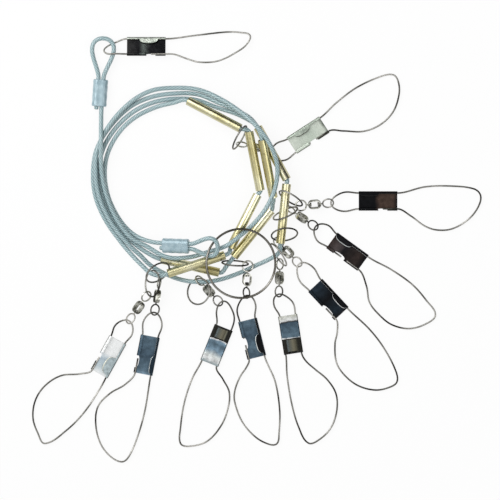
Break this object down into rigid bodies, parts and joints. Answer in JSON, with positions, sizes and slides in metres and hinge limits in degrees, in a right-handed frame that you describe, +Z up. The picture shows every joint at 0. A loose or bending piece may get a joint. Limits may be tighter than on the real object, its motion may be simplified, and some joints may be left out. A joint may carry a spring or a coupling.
{
  "type": "fish stringer",
  "caption": "Coiled fish stringer: coated steel cable with looped ends, brass tube spacers, steel rings, box swivels, safety-pin snaps and a large split ring.",
  "frame": {"origin": "middle of the outline of the coiled stringer as it lies flat, at the level of the surface that it lies on", "axes": "+Z up from that surface; +X to the right and +Y to the top of the picture, which looks straight down"},
  "size_m": [0.3238, 0.3109, 0.0232],
  "materials": {
    "cable_coat": "clear glossy vinyl over stranded steel",
    "ferrule_alloy": "satin",
    "brass_tube": "polished",
    "nickel_wire": "bright nickel plated",
    "plated_sheet": "bright plated sheet"
  },
  "bodies": {
    "stringer": {"cable": "cable_coat", "ferrule_1": "ferrule_alloy", "ferrule_2": "ferrule_alloy"},
    "tube_1": {"tube_1": "brass_tube"},
    "tube_2": {"tube_2": "brass_tube"},
    "tube_3": {"tube_3": "brass_tube"},
    "tube_4": {"tube_4": "brass_tube"},
    "tube_5": {"tube_5": "brass_tube"},
    "tube_6": {"tube_6": "brass_tube"},
    "tube_7": {"tube_7": "brass_tube"},
    "tube_8": {"tube_8": "brass_tube"},
    "tube_9": {"tube_9": "brass_tube"},
    "split_ring": {"split_ring": "nickel_wire"},
    "end_clasp": {"end_clasp": "plated_sheet"},
    "end_bow": {"end_bow": "nickel_wire"},
    "ring_2": {"ring_2": "nickel_wire"},
    "swivel_2": {"swivel_2": "nickel_wire"},
    "swivel_eye_2": {"swivel_eye_2": "nickel_wire"},
    "clasp_2": {"clasp_2": "plated_sheet"},
    "bow_2": {"bow_2": "nickel_wire"},
    "ring_3": {"ring_3": "nickel_wire"},
    "swivel_3": {"swivel_3": "nickel_wire"},
    "swivel_eye_3": {"swivel_eye_3": "nickel_wire"},
    "clasp_3": {"clasp_3": "plated_sheet"},
    "bow_3": {"bow_3": "nickel_wire"},
    "ring_4": {"ring_4": "nickel_wire"},
    "swivel_4": {"swivel_4": "nickel_wire"},
    "swivel_eye_4": {"swivel_eye_4": "nickel_wire"},
    "clasp_4": {"clasp_4": "plated_sheet"},
    "bow_4": {"bow_4": "nickel_wire"},
    "ring_5": {"ring_5": "nickel_wire"},
    "swivel_5": {"swivel_5": "nickel_wire"},
    "swivel_eye_5": {"swivel_eye_5": "nickel_wire"},
    "clasp_5": {"clasp_5": "plated_sheet"},
    "bow_5": {"bow_5": "nickel_wire"},
    "ring_6": {"ring_6": "nickel_wire"},
    "swivel_6": {"swivel_6": "nickel_wire"},
    "swivel_eye_6": {"swivel_eye_6": "nickel_wire"},
    "clasp_6": {"clasp_6": "plated_sheet"},
    "bow_6": {"bow_6": "nickel_wire"},
    "ring_7": {"ring_7": "nickel_wire"},
    "swivel_7": {"swivel_7": "nickel_wire"},
    "swivel_eye_7": {"swivel_eye_7": "nickel_wire"},
    "clasp_7": {"clasp_7": "plated_sheet"},
    "bow_7": {"bow_7": "nickel_wire"},
    "ring_8": {"ring_8": "nickel_wire"},
    "swivel_8": {"swivel_8": "nickel_wire"},
    "swivel_eye_8": {"swivel_eye_8": "nickel_wire"},
    "clasp_8": {"clasp_8": "plated_sheet"},
    "bow_8": {"bow_8": "nickel_wire"},
    "ring_9": {"ring_9": "nickel_wire"},
    "swivel_9": {"swivel_9": "nickel_wire"},
    "swivel_eye_9": {"swivel_eye_9": "nickel_wire"},
    "clasp_9": {"clasp_9": "plated_sheet"},
    "bow_9": {"bow_9": "nickel_wire"},
    "ring_10": {"ring_10": "nickel_wire"},
    "swivel_10": {"swivel_10": "nickel_wire"},
    "swivel_eye_10": {"swivel_eye_10": "nickel_wire"},
    "clasp_10": {"clasp_10": "plated_sheet"},
    "bow_10": {"bow_10": "nickel_wire"}
  },
  "joints": [
    {"name": "tube_1_slide", "type": "slide", "parent": "stringer", "child": "tube_1", "axis": [0.8744, -0.4649, 0.1392], "range_m": [-0.001, 0.001]},
    {"name": "tube_2_slide", "type": "slide", "parent": "stringer", "child": "tube_2", "axis": [0.1903, -0.9792, -0.0698], "range_m": [-0.0003, 0.0003]},
    {"name": "tube_3_slide", "type": "slide", "parent": "stringer", "child": "tube_3", "axis": [-0.4537, -0.8905, -0.0349], "range_m": [-0.001, 0.001]},
    {"name": "tube_4_slide", "type": "slide", "parent": "stringer", "child": "tube_4", "axis": [-0.9498, -0.3086, 0.0523], "range_m": [-0.001, 0.001]},
    {"name": "tube_5_slide", "type": "slide", "parent": "stringer", "child": "tube_5", "axis": [0.1866, -0.9602, -0.2079], "range_m": [-0.001, 0.001]},
    {"name": "tube_6_slide", "type": "slide", "parent": "stringer", "child": "tube_6", "axis": [-0.6291, -0.7769, -0.0262], "range_m": [-0.001, 0.001]},
    {"name": "tube_7_slide", "type": "slide", "parent": "stringer", "child": "tube_7", "axis": [-0.9744, 0.225, 0], "range_m": [-0.0008, 0.001]},
    {"name": "tube_8_slide", "type": "slide", "parent": "stringer", "child": "tube_8", "axis": [0.4836, -0.8725, 0.0698], "range_m": [-0.001, 0.0008]},
    {"name": "tube_9_slide", "type": "slide", "parent": "stringer", "child": "tube_9", "axis": [-0.1045, -0.9939, -0.0349], "range_m": [-0.0008, 0.001]},
    {"name": "split_ring_lift", "type": "hinge", "parent": "stringer", "child": "split_ring", "pos_m": [-0.03096, 0.0038, 0.02054], "axis": [-0.2991, -0.9005, -0.3157], "range_deg": [0, 11.2]},
    {"name": "end_snap_lift", "type": "hinge", "parent": "stringer", "child": "end_clasp", "pos_m": [-0.10423, 0.14032, 0.00405], "axis": [-0.1421, -0.9898, -0.0139], "range_deg": [0, 15]},
    {"name": "end_bow_open", "type": "hinge", "parent": "end_clasp", "child": "end_bow", "pos_m": [-0.07806, 0.14925, 0.00243], "axis": [-1, 0, 0], "range_deg": [0, 24], "stiffness_Nm_per_rad": 0.4},
    {"name": "ring_2_swing", "type": "hinge", "parent": "stringer", "child": "ring_2", "pos_m": [-0.01027, 0.08379, 0.01341], "axis": [-0.9851, 0.1658, 0.0456], "range_deg": [-12, 0.77]},
    {"name": "swivel_2_swing", "type": "hinge", "parent": "ring_2", "child": "swivel_2", "pos_m": [-0.014, 0.0735, 0.00493], "axis": [-0.1458, -0.8959, 0.4196], "range_deg": [-12, 0]},
    {"name": "swivel_2_spin", "type": "hinge", "parent": "swivel_2", "child": "swivel_eye_2", "pos_m": [-0.014, 0.0735, 0.00493], "axis": [0.975, -0.2019, -0.0924], "range_deg": [-25, 1.6]},
    {"name": "snap_2_lift", "type": "hinge", "parent": "swivel_eye_2", "child": "clasp_2", "pos_m": [0.00901, 0.06873, 0.00275], "axis": [-0.3238, -0.9451, 0.0452], "range_deg": [0, 25]},
    {"name": "bow_2_open", "type": "hinge", "parent": "clasp_2", "child": "bow_2", "pos_m": [0.03491, 0.08621, 0.0014], "axis": [-0.8387, -0.5446, 0], "range_deg": [0, 24], "stiffness_Nm_per_rad": 0.4},
    {"name": "ring_3_swing", "type": "hinge", "parent": "stringer", "child": "ring_3", "pos_m": [0.01938, 0.03679, 0.01064], "axis": [-0.1045, -0.9939, -0.0349], "range_deg": [-9.6, 12]},
    {"name": "swivel_3_swing", "type": "hinge", "parent": "ring_3", "child": "swivel_3", "pos_m": [0.02861, 0.02901, 0.00423], "axis": [0.0536, -0.2327, 0.9711], "range_deg": [-5.4, 12]},
    {"name": "swivel_3_spin", "type": "hinge", "parent": "swivel_3", "child": "swivel_eye_3", "pos_m": [0.02861, 0.02901, 0.00423], "axis": [0.9959, 0.0836, -0.0349], "range_deg": [-25, 25]},
    {"name": "snap_3_lift", "type": "hinge", "parent": "swivel_eye_3", "child": "clasp_3", "pos_m": [0.05211, 0.03098, 0.00341], "axis": [-0.0015, -1, 0.0002], "range_deg": [0, 25]},
    {"name": "bow_3_open", "type": "hinge", "parent": "clasp_3", "child": "bow_3", "pos_m": [0.08894, 0.03816, 0.0014], "axis": [-1, 0, 0], "range_deg": [0, 24], "stiffness_Nm_per_rad": 0.4},
    {"name": "ring_4_swing", "type": "hinge", "parent": "stringer", "child": "ring_4", "pos_m": [0.018, 0.02362, 0.01017], "axis": [-0.1045, -0.9939, -0.0349], "range_deg": [-12, 9.6]},
    {"name": "swivel_4_swing", "type": "hinge", "parent": "ring_4", "child": "swivel_4", "pos_m": [0.02157, 0.0272, 0.00426], "axis": [-0.5234, -0.7026, -0.4821], "range_deg": [-12, 7.2]},
    {"name": "swivel_4_spin", "type": "hinge", "parent": "swivel_4", "child": "swivel_eye_4", "pos_m": [0.02157, 0.0272, 0.00426], "axis": [0.8205, -0.5682, -0.0628], "range_deg": [-25, 25]},
    {"name": "snap_4_lift", "type": "hinge", "parent": "swivel_eye_4", "child": "clasp_4", "pos_m": [0.04094, 0.01379, 0.00277], "axis": [-0.5862, -0.8102, -0.0002], "range_deg": [0, 25]},
    {"name": "bow_4_open", "type": "hinge", "parent": "clasp_4", "child": "bow_4", "pos_m": [0.06973, -0.0011, 0.0014], "axis": [-0.809, 0.5878, 0], "range_deg": [0, 24], "stiffness_Nm_per_rad": 0.4},
    {"name": "ring_5_swing", "type": "hinge", "parent": "stringer", "child": "ring_5", "pos_m": [0.01637, 0.00818, 0.00963], "axis": [0.1045, 0.9939, 0.0349], "range_deg": [-12, 12]},
    {"name": "swivel_5_swing", "type": "hinge", "parent": "ring_5", "child": "swivel_5", "pos_m": [0.013, 0.00415, 0.00292], "axis": [-0.4379, -0.3976, 0.8064], "range_deg": [-12, 12]},
    {"name": "swivel_5_spin", "type": "hinge", "parent": "swivel_5", "child": "swivel_eye_5", "pos_m": [0.013, 0.00415, 0.00292], "axis": [0.6895, -0.7241, 0.0175], "range_deg": [-25, 25]},
    {"name": "snap_5_lift", "type": "hinge", "parent": "swivel_eye_5", "child": "clasp_5", "pos_m": [0.02927, -0.01293, 0.00333], "axis": [-0.7509, -0.6604, 0.0031], "range_deg": [0, 25]},
    {"name": "bow_5_open", "type": "hinge", "parent": "clasp_5", "child": "bow_5", "pos_m": [0.05645, -0.03669, 0.0014], "axis": [-0.682, 0.7314, 0], "range_deg": [0, 24], "stiffness_Nm_per_rad": 0.4},
    {"name": "ring_6_swing", "type": "hinge", "parent": "stringer", "child": "ring_6", "pos_m": [0.01303, -0.00619, 0.00684], "axis": [-0.7102, -0.6242, -0.3256], "range_deg": [-12, 12]},
    {"name": "swivel_6_swing", "type": "hinge", "parent": "ring_6", "child": "swivel_6", "pos_m": [0.01554, -0.01112, 0.00364], "axis": [-0.7797, 0.0376, -0.625], "range_deg": [-12, 12]},
    {"name": "swivel_6_spin", "type": "hinge", "parent": "swivel_6", "child": "swivel_eye_6", "pos_m": [0.01554, -0.01112, 0.00364], "axis": [-0.0384, -0.9992, -0.0122], "range_deg": [-25, 25]},
    {"name": "snap_6_lift", "type": "hinge", "parent": "swivel_eye_6", "child": "clasp_6", "pos_m": [0.01464, -0.0347, 0.00336], "axis": [-0.9846, -0.1747, -0.0023], "range_deg": [0, 25]},
    {"name": "bow_6_open", "type": "hinge", "parent": "clasp_6", "child": "bow_6", "pos_m": [0.01795, -0.06737, 0.0014], "axis": [-0.1564, 0.9877, 0], "range_deg": [0, 24], "stiffness_Nm_per_rad": 0.4},
    {"name": "ring_7_swing", "type": "hinge", "parent": "stringer", "child": "ring_7", "pos_m": [-0.02037, -0.01106, 0.00428], "axis": [-0.6241, -0.7813, 0.0096], "range_deg": [-5.4, 5.4]},
    {"name": "swivel_7_swing", "type": "hinge", "parent": "ring_7", "child": "swivel_7", "pos_m": [-0.00771, -0.01253, 0.00775], "axis": [-0.2341, 0.1943, -0.9526], "range_deg": [-12, 1.2]},
    {"name": "swivel_7_spin", "type": "hinge", "parent": "swivel_7", "child": "swivel_eye_7", "pos_m": [-0.00771, -0.01253, 0.00775], "axis": [-0.0445, -0.9809, -0.1891], "range_deg": [-25, 25]},
    {"name": "snap_7_lift", "type": "hinge", "parent": "swivel_eye_7", "child": "clasp_7", "pos_m": [-0.00876, -0.03568, 0.00328], "axis": [-0.9755, -0.2201, 0.0026], "range_deg": [0, 25]},
    {"name": "bow_7_open", "type": "hinge", "parent": "clasp_7", "child": "bow_7", "pos_m": [0.0016, -0.06811, 0.0014], "axis": [-0.2419, 0.9703, 0], "range_deg": [0, 24], "stiffness_Nm_per_rad": 0.4},
    {"name": "ring_8_swing", "type": "hinge", "parent": "stringer", "child": "ring_8", "pos_m": [-0.04288, -0.02608, 0.00565], "axis": [0.9995, -0.0195, 0.0231], "range_deg": [-7.68, 3.69]},
    {"name": "swivel_8_swing", "type": "hinge", "parent": "ring_8", "child": "swivel_8", "pos_m": [-0.04355, -0.02345, 0.00481], "axis": [-0.6277, -0.5072, -0.5905], "range_deg": [-1.15, 6.14]},
    {"name": "swivel_8_spin", "type": "hinge", "parent": "swivel_8", "child": "swivel_eye_8", "pos_m": [-0.04355, -0.02345, 0.00481], "axis": [0.665, -0.7437, -0.068], "range_deg": [-25, 25]},
    {"name": "snap_8_lift", "type": "hinge", "parent": "swivel_eye_8", "child": "clasp_8", "pos_m": [-0.02786, -0.041, 0.0032], "axis": [-0.7061, -0.705, -0.0667], "range_deg": [0, 25]},
    {"name": "bow_8_open", "type": "hinge", "parent": "clasp_8", "child": "bow_8", "pos_m": [-0.03655, -0.07203, 0.0014], "axis": [0.3746, 0.9272, 0], "range_deg": [0, 24], "stiffness_Nm_per_rad": 0.4},
    {"name": "ring_9_swing", "type": "hinge", "parent": "stringer", "child": "ring_9", "pos_m": [-0.07345, -0.02094, 0.01065], "axis": [-0.9295, 0.2, -0.3098], "range_deg": [-6.14, 9.6]},
    {"name": "swivel_9_swing", "type": "hinge", "parent": "ring_9", "child": "swivel_9", "pos_m": [-0.07122, -0.02459, 0.00445], "axis": [-0.9487, 0.1327, 0.2869], "range_deg": [-6.14, 12]},
    {"name": "swivel_9_spin", "type": "hinge", "parent": "swivel_9", "child": "swivel_eye_9", "pos_m": [-0.07122, -0.02459, 0.00445], "axis": [-0.1528, -0.987, -0.0488], "range_deg": [-12.8, 25]},
    {"name": "snap_9_lift", "type": "hinge", "parent": "swivel_eye_9", "child": "clasp_9", "pos_m": [-0.07483, -0.04788, 0.00329], "axis": [-0.9816, 0.1911, 0], "range_deg": [0, 25]},
    {"name": "bow_9_open", "type": "hinge", "parent": "clasp_9", "child": "bow_9", "pos_m": [-0.07555, -0.08245, 0.0014], "axis": [0.1908, 0.9816, 0], "range_deg": [0, 24], "stiffness_Nm_per_rad": 0.4},
    {"name": "ring_10_swing", "type": "hinge", "parent": "stringer", "child": "ring_10", "pos_m": [-0.0748, -0.02058, 0.01017], "axis": [-0.904, 0.2733, -0.3286], "range_deg": [-4.91, 12]},
    {"name": "swivel_10_swing", "type": "hinge", "parent": "ring_10", "child": "swivel_10", "pos_m": [-0.0796, -0.03464, 0.00417], "axis": [-0.5591, 0.4293, -0.7093], "range_deg": [-6.14, 12]},
    {"name": "swivel_10_spin", "type": "hinge", "parent": "swivel_10", "child": "swivel_eye_10", "pos_m": [-0.0796, -0.03464, 0.00417], "axis": [-0.5789, -0.8146, -0.0366], "range_deg": [-12.8, 25]},
    {"name": "snap_10_lift", "type": "hinge", "parent": "swivel_eye_10", "child": "clasp_10", "pos_m": [-0.09326, -0.05386, 0.00331], "axis": [-0.875, 0.4841, -0.0001], "range_deg": [0, 25]},
    {"name": "bow_10_open", "type": "hinge", "parent": "clasp_10", "child": "bow_10", "pos_m": [-0.10444, -0.08504, 0.0014], "axis": [0.4848, 0.8746, 0], "range_deg": [0, 24], "stiffness_Nm_per_rad": 0.4}
  ]
}
